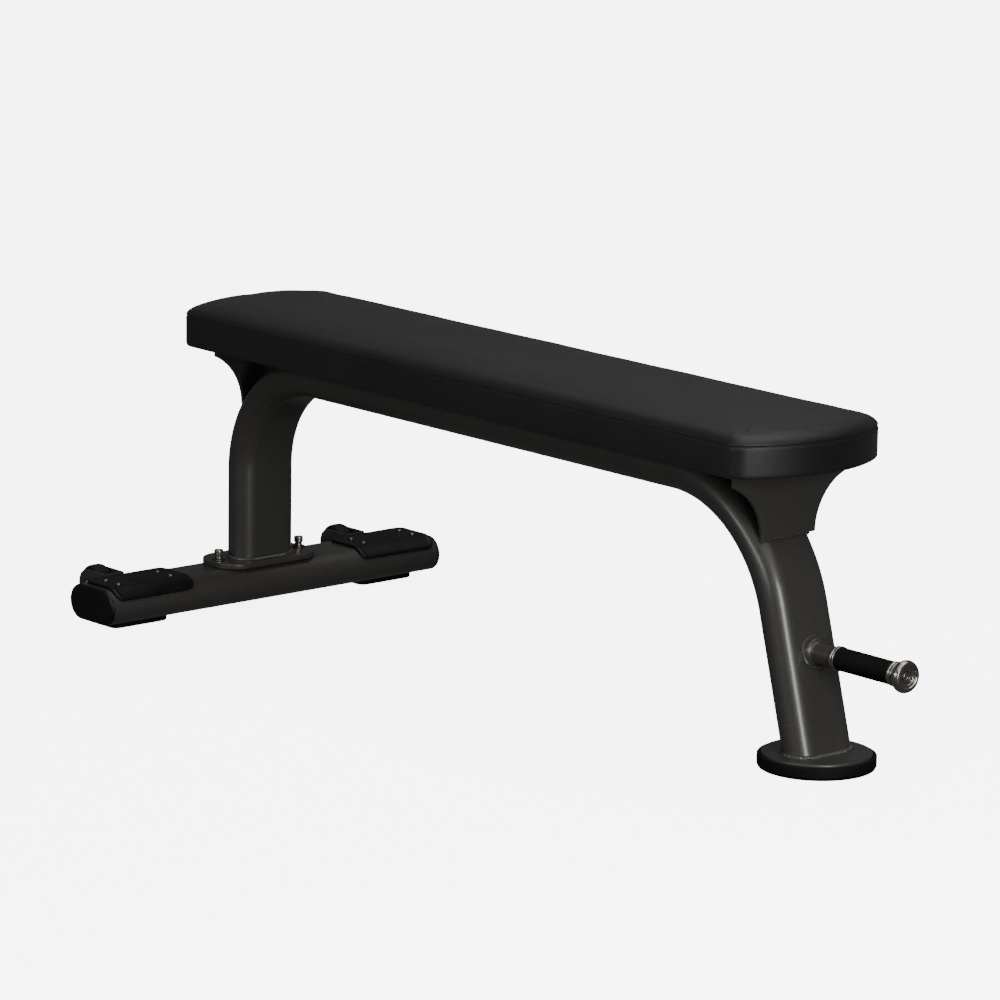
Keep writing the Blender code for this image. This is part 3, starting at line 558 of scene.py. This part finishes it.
def frame_path(steps=56):
    """The centre line of the bent tube in the bench's middle plane, with its direction at each point."""
    turn = math.pi / 2 - LEAN
    front_start = LEG_FLOOR_X - math.tan(LEAN) * SPINE_Z - FRONT_BEND * math.tan(turn / 2)
    rear = (UPRIGHT_X + REAR_BEND, SPINE_Z - REAR_BEND)
    front = (front_start, SPINE_Z - FRONT_BEND)
    path = [((UPRIGHT_X, FLANGE_TOP + GAP), math.pi / 2)]
    for spot, i in zip(arc(rear, REAR_BEND, math.pi, math.pi / 2, steps), range(steps + 1)):
        path.append((spot, math.pi / 2 * (1 - i / steps)))
    for spot, i in zip(arc(front, FRONT_BEND, math.pi / 2, LEAN, steps), range(steps + 1)):
        path.append((spot, -turn * i / steps))
    path.append(((LEG_FLOOR_X - math.tan(LEAN) * FOOT_TOP, FOOT_TOP + GAP), -turn))
    return path


def main_frame():
    """The bent tube, its ends cut level, and the weld round each end."""
    section = oval(TUBE_REACH, TUBE_R)
    path = frame_path()
    rings = []
    for index, ((x, z), heading) in enumerate(path):
        across = Vector((-math.sin(heading), 0, math.cos(heading)))
        along = Vector((math.cos(heading), 0, math.sin(heading)))
        ring = [Vector((x, 0, z)) + Vector((0, u, 0)) + across * v for u, v in section]
        if index in (0, len(path) - 1):
            level = FLANGE_TOP + GAP if index == 0 else FOOT_TOP + GAP
            ring = [p + along * ((level - p.z) / along.z) for p in ring]
        rings.append(ring)
    piece("bent_frame_tube", loft(rings, "cap"), "frame_paint", stands_for=["main_frame_tube"])
    for name, ring in (("upright_weld", rings[0]), ("leg_weld", rings[-1])):
        piece(name, bead(evenly(ring, 0.0008), 0.0034, (0, 0, 1)), "frame_paint")


def oval_ring(inset, y):
    """A section of the beam at a place across the bench, in from its surface."""
    return [Vector((BEAM.x + u, y, BEAM.z + v)) for u, v in oval(TUBE_REACH, TUBE_R - inset)]


def rear_beam():
    """The beam, with a domed cap in each end and a rubber foot under each side."""
    half = BEAM_SIZE.y / 2
    lips = [(-half, EDGE), (-half + EDGE, 0.0), (half - EDGE, 0.0), (half, EDGE)]
    piece("beam_tube", loft([oval_ring(inset, y) for y, inset in lips], "cap"), "frame_paint",
          stands_for=["rear_beam_tube"])
    for name, side in SIDES:
        low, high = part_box(f"beam_end_cap_{name}")
        outer = (high if side > 0 else low).y
        seat = side * (half + GAP)
        dome = abs(outer - seat)
        steps = [(0.0006, 0.0), (0.0, 0.0006), (0.0, dome * 0.35), (0.0008, dome * 0.62),
                 (0.0024, dome * 0.80), (0.0050, dome * 0.90), (0.0100, dome * 0.96), (0.0180, dome)]
        rings = [oval_ring(inset, seat + side * out) for inset, out in steps]
        piece(f"end_cap_{name}", loft(rings, "cap"), "black_plastic", stands_for=[f"beam_end_cap_{name}"])
        rubber = middle(f"beam_foot_{name}")
        half_foot = size(f"beam_foot_{name}") / 2
        levels = [(0.004, -1.0), (0.0015, -0.96), (0.0, -0.7), (0.0, 0.8), (0.0012, 1.0)]
        pads = [[Vector((rubber.x + v, rubber.y + u, rubber.z + half_foot.z * lift))
                 for u, v in box_ring(half_foot.y - inset, half_foot.x - inset, 0.012 - inset)]
                for inset, lift in levels]
        piece(f"beam_foot_pad_{name}", loft(pads), "black_rubber", stands_for=[f"beam_foot_{name}"])


def beam_surface(s, y, lift):
    """A point over the beam: s runs from the top's rear edge forward and down round the front."""
    flat = 2 * TUBE_REACH
    if s < 0:
        angle = math.pi / 2 - s / TUBE_R
        centre = -TUBE_REACH
    elif s <= flat:
        return Vector((BEAM.x - TUBE_REACH + s, y, BEAM.z + TUBE_R + lift))
    else:
        angle = math.pi / 2 - (s - flat) / TUBE_R
        centre = TUBE_REACH
    r = TUBE_R + lift
    return Vector((BEAM.x + centre + r * math.cos(angle), y, BEAM.z + r * math.sin(angle)))


def guards():
    """Moulded covers: a rounded sheet bent over the beam, with a raised rim and four screws."""
    for name, _ in SIDES:
        low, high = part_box(f"beam_guard_{name}")
        back = -math.radians(10.5) * TUBE_R
        front = 2 * TUBE_REACH + math.radians(64) * TUBE_R
        half_s, half_y = (front - back) / 2, (high.y - low.y) / 2
        thick = high.z - (BEAM.z + TUBE_R) - GAP
        centre_s, centre_y = (front + back) / 2, (low.y + high.y) / 2
        under = [(0.040, GAP), (0.020, GAP), (0.004, GAP), (0.0004, GAP), (0.0, GAP + 0.0005)]
        over = [(0.0, thick * 0.55), (0.0003, thick * 0.80), (0.0010, thick * 0.95), (0.0020, thick),
                (0.0040, thick), (0.0052, thick * 0.97), (0.0064, thick * 0.90), (0.0080, thick * 0.88)]
        over += [(inset / 1000, thick * 0.88) for inset in (12, 18, 24, 30, 36, 42)]
        rings = []
        for inset, lift in under + over:
            ring = box_ring(half_y - inset, half_s - inset, GUARD_CORNER - inset * 0.8, 22, 8, 22)
            rings.append([beam_surface(centre_s + v, centre_y + u, lift + GAP) for u, v in ring])
        piece(f"guard_{name}", loft(rings), "black_plastic", stands_for=[f"beam_guard_{name}"])
        for number in range(1, 5):
            screw(f"guard_screw_{name}_{number}", thick * 0.12)


def screw(node, sink):
    """A pan-head screw with a cross recess, sunk to sit on the guard."""
    low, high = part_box(node)
    tall = 0.0028
    centre = Vector(((low.x + high.x) / 2, (low.y + high.y) / 2, high.z - tall - sink))
    head = size(node).x / 2
    profile = [(0, tall), (0.0018, 0.0027), (0.0032, 0.0022), (head - 0.0003, 0.0010), (head, 0.0003),
               (head - 0.0002, -0.0004), (0, -0.0004)]
    made = piece(node.replace("screw", "pan_screw"), lathe(profile, "Z", centre, 32), "zinc_steel",
                 stands_for=[node])
    first_turn = 0.4
    for turn in (first_turn, first_turn + math.pi / 2):
        slot = bmesh.new()
        place = Matrix.Translation(centre + Vector((0, 0, tall))) @ Matrix.Rotation(turn, 4, "Z")
        bmesh.ops.create_cube(slot, size=1.0, matrix=place @ Matrix.Diagonal((0.0046, 0.0009, 0.0022, 1.0)))
        cut_with(made, to_mesh(slot))


def cut_with(target, mesh, operation="DIFFERENCE"):
    """Cuts or joins a mesh, and keeps only the result."""
    other = bpy.data.objects.new("cutter", mesh)
    scene.collection.objects.link(other)
    step = target.modifiers.new("cut", "BOOLEAN")
    step.operation = operation
    step.solver = "EXACT"
    step.object = other
    bpy.context.view_layer.update()
    seen = target.evaluated_get(bpy.context.evaluated_depsgraph_get())
    result = bpy.data.meshes.new_from_object(seen)
    target.modifiers.clear()
    target.data = result
    bpy.data.objects.remove(other, do_unlink=True)
    result.shade_smooth()
    result.set_sharp_from_angle(angle=math.radians(40))


def flange():
    """The plate under the upright, with its two socket bolts and their washers."""
    centre = middle("upright_flange_plate")
    wide = size("upright_flange_plate")
    ring = [(v, u) for u, v in box_ring(wide.y / 2, wide.x / 2, FLANGE_CORNER, 3, 20, 6)]
    bolt_y = middle("flange_bolt_left").y
    holes = [circle((0, side * bolt_y), 0.0053) for _, side in SIDES]
    piece("flange_plate", plate([ring] + holes, wide.z, 0.0014, Matrix.Translation(centre)), "frame_paint",
          stands_for=["upright_flange_plate"])
    for name, _ in SIDES:
        low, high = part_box(f"flange_bolt_{name}")
        spot = middle(f"flange_bolt_{name}")
        seat = Vector((spot.x, spot.y, high.z - BOLT_STAND))
        tip = low.z - seat.z
        profile = eased([(0, 0.0090), (0.0032, 0.0090), (0.0032, BOLT_STAND), (0.0065, BOLT_STAND),
                         (0.0065, 0.0055), (0.0052, 0.0045), (0.0052, 0), (0.005, 0), (0.005, tip), (0, tip)],
                        0.0010)
        piece(f"socket_bolt_{name}", lathe(profile, "Z", seat, 48), "polished_steel",
              stands_for=[f"flange_bolt_{name}"])
        low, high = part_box(f"flange_washer_{name}")
        half = (high.x - low.x) / 2
        washer = eased([(half, high.z - low.z), (half, 0), (0.0053, 0), (0.0053, high.z - low.z)], 0.0003)
        piece(f"round_washer_{name}", lathe(washer, "Z", (spot.x, spot.y, low.z), 40, True), "zinc_steel",
              stands_for=[f"flange_washer_{name}"])


def front_foot():
    """The round steel plate and the rubber cup that it sits in."""
    low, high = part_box("front_foot_rubber")
    half = (high.x - low.x) / 2
    tall = high.z - low.z
    lip = 0.005
    cup = eased([(0, tall - lip), (half - lip, tall - lip), (half - lip, tall), (half, tall), (half, 0.004),
                 (half - 0.0015, 0.0025), (half - 0.0015, 0.0010), (half - 0.004, 0), (0, 0)], 0.0016, 4)
    piece("foot_cup", lathe(cup, "Z", (FOOT.x, 0, low.z), 144), "black_rubber",
          stands_for=["front_foot_rubber"])
    low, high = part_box("front_foot_plate")
    half = (high.x - low.x) / 2
    disc = eased([(0, high.z - low.z), (half, high.z - low.z), (half, 0), (0, 0)], 0.0022, 5)
    piece("foot_plate", lathe(disc, "Z", (FOOT.x, 0, low.z), 144), "frame_paint",
          stands_for=["front_foot_plate"])


def bracket(node, front, neck):
    """A flared plate, bent over at the top to a shelf that the pad is bolted to."""
    low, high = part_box(node)
    top_half = high.y
    drop = high.z - BRACKET_SHOULDER - low.z
    spread = top_half - neck
    hollow = (spread ** 2 + drop ** 2) / (2 * spread)
    side = arc((neck + hollow, low.z), hollow, math.pi, math.pi - math.asin(drop / hollow), 28)
    outline = side + [(top_half, high.z)]
    outline += [(-u, v) for u, v in reversed(outline)]
    centre_x = (high.x if front > 0 else low.x) - front * BRACKET_THICK / 2
    stood_up = Matrix(((0, 0, 1, 0), (1, 0, 0, 0), (0, 1, 0, 0), (0, 0, 0, 1)))
    sheet = plate([outline], BRACKET_THICK, 0.0012, Matrix.Translation((centre_x, 0, 0)) @ stood_up)
    made = piece(f"flared_{node}", sheet, "frame_paint", stands_for=[node])
    shelf_ring = box_ring((high.x - low.x) / 2 - 0.0005, top_half - 0.0002, 0.006, 6, 6, 4)
    shelf_place = Matrix.Translation(((low.x + high.x) / 2, 0, high.z - BRACKET_THICK / 2))
    cut_with(made, plate([shelf_ring], BRACKET_THICK - 0.0002, 0.001, shelf_place), "UNION")
    return centre_x - front * BRACKET_THICK / 2, low.z


def bracket_weld(name, face, z, half, front):
    """The bead where a bracket's foot meets the tube, following the tube's rounding at each side."""
    points = []
    for i in range(41):
        y = half * (i / 20 - 1)
        round_off = max(0.0, abs(y) - TUBE_REACH)
        drop = TUBE_R - math.sqrt(max(TUBE_R ** 2 - round_off ** 2, 0.0))
        points.append((face - front * drop * 0.8 + front * 0.001, y, z - 0.001 - drop * 0.25))
    piece(name, bead(evenly(points, 0.0008, False), 0.0032, (1, 0, 0), False), "frame_paint")


def wheels():
    """Each wheel: a crowned tyre on a dished hub, both turning on its own body."""
    for name, _ in SIDES:
        body = f"wheel_{name}"
        centre = middle(f"wheel_tyre_{name}")
        half = size(f"wheel_tyre_{name}") / 2
        r, w = half.x, half.y
        inner = size(f"wheel_hub_{name}").x / 2 + GAP
        tread = [(r - 0.0045, w), (r - 0.0022, w - 0.0012), (r - 0.0010, w - 0.0030),
                 (r - 0.0002, w - 0.0060)]
        crowned = tread + [(r, 0)] + [(u, -v) for u, v in reversed(tread)]
        tyre = eased(crowned + [(inner, -w), (inner, w)], 0.0008)
        piece(f"tyre_{name}", lathe(tyre, "Y", centre, 96, True), "wheel_rubber", body,
              [f"wheel_tyre_{name}"])
        hub = inner - GAP
        lip = w - 0.0003
        dish = w - 0.002
        rim = [(hub, lip), (hub - 0.0035, lip), (hub - 0.0045, dish), (0.0095, dish), (0.0090, lip),
               (0.0063, lip)]
        whole = rim[:1] + [(u, -v) for u, v in rim] + rim[:0:-1]
        piece(f"hub_{name}", lathe(eased(whole, 0.0005), "Y", centre, 72, True), "black_plastic", body,
              [f"wheel_hub_{name}"])


def handle():
    """The lifting handle: painted stub, collar, ribbed grip, second collar and a flared end cap."""
    axis = middle("handle_grip")
    start = Vector((0, axis.y, axis.z))
    low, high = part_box("handle_bar")
    collar_low, collar_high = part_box("handle_inner_collar")
    face = LEG_FLOOR_X - math.tan(LEAN) * axis.z + TUBE_R / math.cos(LEAN)
    root = [(0.0188, face - 0.006), (0.0190, face + 0.0035), (0.0180, face + 0.0060), (0.0150, face + 0.0075),
            (0.0135, face + 0.0095), (0.0135, collar_low.x - GAP), (0.010, collar_low.x - GAP),
            (0.010, high.x), (0, high.x), (0, face - 0.006)]
    mesh = lathe(eased(root, 0.0010), "X", start)
    slope = math.tan(LEAN)
    for vert in mesh.vertices:
        behind = LEG_FLOOR_X - slope * vert.co.z + (TUBE_R + GAP) / math.cos(LEAN)
        vert.co.x = max(vert.co.x, behind)
    piece("handle_stub", mesh, "frame_paint", stands_for=["handle_bar"])
    ring = []
    for i in range(120):
        angle = 2 * math.pi * i / 120
        y, z = STUB_WELD_R * math.cos(angle), axis.z + STUB_WELD_R * math.sin(angle)
        ring.append((LEG_FLOOR_X - slope * z + TUBE_R / math.cos(LEAN) + 0.0006, y, z))
    piece("handle_weld", bead(evenly(ring, 0.0007), 0.0026, (1, 0, 0), pitch=0.0028), "frame_paint")
    w = collar_high.x - collar_low.x
    collar = [(0.0160, w), (0.0160, w * 0.62), (0.0146, w * 0.56), (0.0146, w * 0.48), (0.0156, w * 0.42),
              (0.0156, 0), (SLEEVE_BORE, 0), (SLEEVE_BORE, w)]
    piece("inner_collar", lathe(eased(collar, 0.0009), "X", start + Vector((collar_low.x, 0, 0)), ring=True),
          "polished_steel", stands_for=["handle_inner_collar"])
    grip_low, grip_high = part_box("handle_grip")
    long = grip_high.x - grip_low.x
    grip_r = (grip_high.z - grip_low.z) / 2
    pitch = 0.0021
    ridges = int((long - 0.006) / pitch)
    skin = [(grip_r - 0.0006, 0.0), (grip_r, 0.0010), (grip_r, 0.0026)]
    for k in range(ridges):
        x = 0.003 + pitch * k
        skin += [(grip_r - 0.0007, x), (grip_r - 0.0007, x + pitch * 0.30), (grip_r, x + pitch * 0.48),
                 (grip_r, x + pitch * 0.85)]
    skin += [(grip_r, long - 0.0010), (grip_r - 0.0006, long), (SLEEVE_BORE, long), (SLEEVE_BORE, 0.0)]
    piece("ribbed_grip", lathe(skin, "X", start + Vector((grip_low.x, 0, 0)), ring=True), "black_rubber",
          stands_for=["handle_grip"])
    ring_low, ring_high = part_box("handle_outer_collar")
    w = ring_high.x - ring_low.x
    grooved = [(0.0160, w), (0.0160, w * 0.66), (0.0150, w * 0.56), (0.0150, w * 0.44), (0.0160, w * 0.34),
               (0.0160, 0), (SLEEVE_BORE, 0), (SLEEVE_BORE, w)]
    piece("outer_collar", lathe(eased(grooved, 0.0010), "X", start + Vector((ring_low.x, 0, 0)), ring=True),
          "polished_steel", stands_for=["handle_outer_collar"])
    cap_low, cap_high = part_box("handle_end_cap")
    end = cap_high.x
    cap = [(0.0144, end - 0.0009), (0.0165, end), (0.0190, end - 0.0008), (0.0206, end - 0.0035),
           (0.0212, end - 0.0065), (0.0205, end - 0.0098), (0.0186, end - 0.0126), (0.0168, end - 0.0146),
           (0.0155, cap_low.x), (SLEEVE_BORE, cap_low.x), (SLEEVE_BORE, end - 0.0117),
           (0.0046, end - 0.0117), (0.0046, end - 0.0052), (0.0074, end - 0.0052), (0.0074, end - 0.0036),
           (0.0105, end - 0.0036),
           (0.0109, end - 0.0024), (0.0138, end - 0.0024)]
    piece("flared_end_cap", lathe(eased(cap, 0.0007), "X", start, 96, True), "polished_steel",
          stands_for=["handle_end_cap"])
    screw_low, screw_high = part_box("handle_cap_screw")
    head = screw_high.x
    r = (screw_high.y - screw_low.y) / 2
    bolt = [(0, head - 0.0022), (0.0030, head - 0.0022), (0.0030, head), (r, head - 0.0002),
            (r, head - 0.0024),
            (0.004, head - 0.0024), (0.004, screw_low.x), (0, screw_low.x)]
    piece("cap_socket_screw", lathe(eased(bolt, 0.0006), "X", start, 48), "polished_steel",
          stands_for=["handle_cap_screw"])


# ---------------------------------------------------------------- pad

PAD_LOW, PAD_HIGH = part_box("pad_cover")
PAD_END_R = 0.212
PAD_CORNER = 0.030
PAD_ROLL = 0.0145           # height of the rolled top edge
PAD_ROLL_IN = 0.023         # width of the rolled top edge
PAD_CROWN = 0.0045          # how far the middle of the top stands above its shoulders
SEAM_DROP = 0.0150          # of the seam below the top's shoulder


def pad_ring(inset, z, ends=14, corners=7, sides=62):
    """The pad from above, moved in from its edge: straight sides, bowed ends, eased corners."""
    half = PAD_HIGH.y - inset
    reach = (PAD_HIGH.x - PAD_LOW.x) / 2 - inset
    bow = PAD_END_R - inset
    corner = max(PAD_CORNER - inset * 0.6, 0.004)
    if half <= corner:
        corner = half * 0.8
    bow_centre = reach - bow
    corner_u = bow_centre + math.sqrt((bow - corner) ** 2 - (half - corner) ** 2)
    meet = math.atan2(half - corner, corner_u - bow_centre)
    quarter = arc((bow_centre, 0), bow, 0.0, meet, ends)[:-1]
    quarter += arc((corner_u, half - corner), corner, meet, math.pi / 2, corners)
    quarter += [(corner_u * (1 - i / sides), half) for i in range(1, sides + 1)]
    centre_x = (PAD_HIGH.x + PAD_LOW.x) / 2
    return [Vector((centre_x + u, v, z)) for u, v in quarter_ring(quarter)]


def crown(inset):
    """Height of the top above its shoulder at a distance in from the edge."""
    t = min(1.0, max(0.0, (inset - PAD_ROLL_IN) / 0.060))
    return PAD_CROWN * math.sin(t * math.pi / 2)


def pad_levels():
    """(inset, height) of each ring, from the middle of the underside round to the middle of the top."""
    low = PAD_LOW.z + 0.0002
    shoulder = PAD_HIGH.z - PAD_CROWN
    seam = shoulder - SEAM_DROP
    levels = [(inset / 1000, low) for inset in (120, 100, 80, 60, 40, 20, 8)]
    levels += [(0.0030, low), (0.0008, low + 0.0010), (0.0, low + 0.0034)]
    levels += [(0.0, low + 0.0034 + (seam - 0.003 - low - 0.0034) * i / 6) for i in range(1, 7)]
    levels += [(0.0004, seam - 0.0010), (0.0015, seam), (0.0004, seam + 0.0010)]
    for i in range(1, 8):
        angle = math.pi / 2 * i / 7
        levels.append((PAD_ROLL_IN * (1 - math.cos(angle)), shoulder - PAD_ROLL * (1 - math.sin(angle))))
    levels += [(inset / 1000, shoulder + crown(inset / 1000))
               for inset in (29, 36, 45, 55, 65, 75, 85, 95, 105, 115, 121)]
    return levels, seam


def pad_cover():
    """The sewn cover: held at the seam and the underside, and filled by the foam's pressure elsewhere."""
    levels, seam = pad_levels()
    mesh = loft([pad_ring(inset, z) for inset, z in levels])
    cover = piece("pad_cover_sewn", mesh, "pad_vinyl", stands_for=["pad_cover", "pad_foam"])
    rest = [vert.co.copy() for vert in mesh.vertices]
    inflate(cover, seam)
    settle(cover, rest)
    pucker(cover, seam)
    smooth = cover.modifiers.new("smooth", "SUBSURF")
    smooth.levels = 1
    smooth.render_levels = 1
    stitches(seam)


def inflate(cover, seam):
    """Cloth under the foam's pressure, pinned along the seam and the underside."""
    held = cover.vertex_groups.new(name="held")
    for vert in cover.data.vertices:
        at_seam = abs(vert.co.z - seam) < 0.0016
        under = vert.co.z < PAD_LOW.z + 0.006
        if at_seam or under:
            held.add([vert.index], 1.0, "REPLACE")
    cloth = cover.modifiers.new("cloth", "CLOTH")
    settings = cloth.settings
    settings.quality = 6
    settings.mass = 0.4
    settings.tension_stiffness = 40.0
    settings.compression_stiffness = 40.0
    settings.shear_stiffness = 20.0
    settings.bending_stiffness = 4.0
    settings.use_pressure = True
    settings.uniform_pressure_force = 4.0
    settings.vertex_group_mass = "held"
    settings.effector_weights.gravity = 0.0
    cloth.collision_settings.use_collision = False
    cloth.collision_settings.use_self_collision = False
    for number in range(1, 21):
        scene.frame_set(number)
    seen = cover.evaluated_get(bpy.context.evaluated_depsgraph_get())
    swollen = [vert.co.copy() for vert in seen.to_mesh().vertices]
    seen.to_mesh_clear()
    cover.modifiers.remove(cloth)
    cover.vertex_groups.remove(held)
    scene.frame_set(1)
    for vert, spot in zip(cover.data.vertices, swollen):
        vert.co = spot


def settle(cover, rest):
    """No point of the cover moves more than a firm pad's cover can."""
    most = 0.0010
    for vert, start in zip(cover.data.vertices, rest):
        move = vert.co - start
        if move.length > most:
            vert.co = start + move * (most / move.length)


def pucker(cover, seam):
    """Small gathers along the seam, stronger round the corners, and a faint unevenness of the filling."""
    random.seed(4)
    phases = [random.uniform(0, 6.28) for _ in range(6)]
    centre_x = (PAD_LOW.x + PAD_HIGH.x) / 2
    for vert in cover.data.vertices:
        x, y, z = vert.co
        near = math.exp(-((z - seam - 0.002) / 0.009) ** 2)
        at_corner = math.exp(-((abs(y) - PAD_HIGH.y) / 0.05) ** 2) * (0.35 + (abs(x - centre_x) > 0.54))
        along = math.sin(x * 620 + phases[0] + 2.1 * math.sin(x * 37 + phases[1]))
        ripple = along * math.sin(y * 540 + phases[2])
        vert.co += vert.normal * 0.00030 * near * at_corner * ripple
        if z > seam:
            wave = math.sin(x * 21 + phases[3]) * math.sin(y * 34 + phases[4])
            wave += 0.6 * math.sin(x * 47 + y * 29 + phases[5])
            vert.co += Vector((0, 0, 0.00022 * wave))


def stitches(seam):
    """Two rows of lockstitch, one each side of the seam."""
    shape = bmesh.new()
    pitch = 0.0042
    for inset, z in ((-0.0002, seam - 0.0034), (0.0002, seam + 0.0036)):
        line = evenly(pad_ring(inset, z), pitch)
        for a, b in zip(line, line[1:] + line[:1]):
            along = b - a
            spot = (a + b) / 2
            turn = along.to_track_quat("X", "Z").to_matrix().to_4x4()
            place = Matrix.Translation(spot) @ turn @ Matrix.Diagonal((pitch * 0.36, 0.00042, 0.00042, 1.0))
            bmesh.ops.create_icosphere(shape, subdivisions=1, radius=1.0, matrix=place)
    piece("seam_stitching", to_mesh(shape), "pad_vinyl", material=THREAD)


# ---------------------------------------------------------------- making

make_camera()
finish_frame()
main_frame()
rear_beam()
guards()
flange()
front_foot()
face, foot_z = bracket("front_bracket", 1, FRONT_NECK)
bracket_weld("front_bracket_weld", face, foot_z, FRONT_WELD_HALF, 1)
face, foot_z = bracket("rear_bracket", -1, REAR_NECK)
bracket_weld("rear_bracket_weld", face, foot_z, REAR_NECK, -1)
wheels()
handle()
pad_cover()


def studio():
    """A white floor and surround that stay out of the bench's reflections, with large soft lights."""
    white = 6.0             # strength at which the floor and surround look white
    world = bpy.data.worlds.new("studio")
    scene.world = world
    world.use_nodes = True
    tree = world.node_tree
    tree.nodes.clear()
    seen = add(tree, "LightPath")
    bright = add(tree, "Background", {"Color": colour("#FFFFFF"), "Strength": white})
    soft = add(tree, "Background", {"Color": colour("#FFFDFA"), "Strength": 0.07})
    both = add(tree, "MixShader",
               links={0: seen.outputs["Is Camera Ray"], 1: soft.outputs[0], 2: bright.outputs[0]})
    add(tree, "OutputWorld", links={"Surface": both.outputs[0]})
    mesh = bpy.data.meshes.new("floor")
    reach = 16.0
    corners = [(-reach, -reach, 0), (reach, -reach, 0), (reach, reach, 0), (-reach, reach, 0)]
    mesh.from_pydata(corners, [], [(0, 1, 2, 3)])
    floor = bpy.data.objects.new("floor", mesh)
    scene.collection.objects.link(floor)
    floor.location.z = -0.0002
    floor.visible_glossy = False
    floor.visible_diffuse = False
    pale, tree, shader, place = surface("painted_studio_floor", Emission_Strength=white, Roughness=0.9)
    wash = add(tree, "TexNoise", {"Scale": per_mm(700), "Detail": 2.0}, {"Vector": place})
    tinted(tree, shader, wash.outputs["Fac"], [(0.3, "#F6F6F6"), (0.7, "#FAFAFA")])
    shader.inputs["Emission Color"].default_value = colour("#FFFFFF")
    mesh.materials.append(pale)
    sun = bpy.data.lights.new("wide_sun", "SUN")
    sun.energy = 1.1
    sun.angle = math.radians(70)
    lamp = bpy.data.objects.new("wide_sun", sun)
    lamp.rotation_euler = (math.radians(12), math.radians(16), 0)
    scene.collection.objects.link(lamp)
    softbox("overhead", (0.0, 0.9, 3.0), (0, 0, 0.3), 3.0, 1.4, 23)
    softbox("left_strip", (0.2, -3.6, 1.3), (0, 0, 0.3), 2.6, 0.5, 27)
    softbox("front_strip", (3.6, -1.2, 1.0), (0.3, 0, 0.3), 0.7, 1.8, 68)


studio()
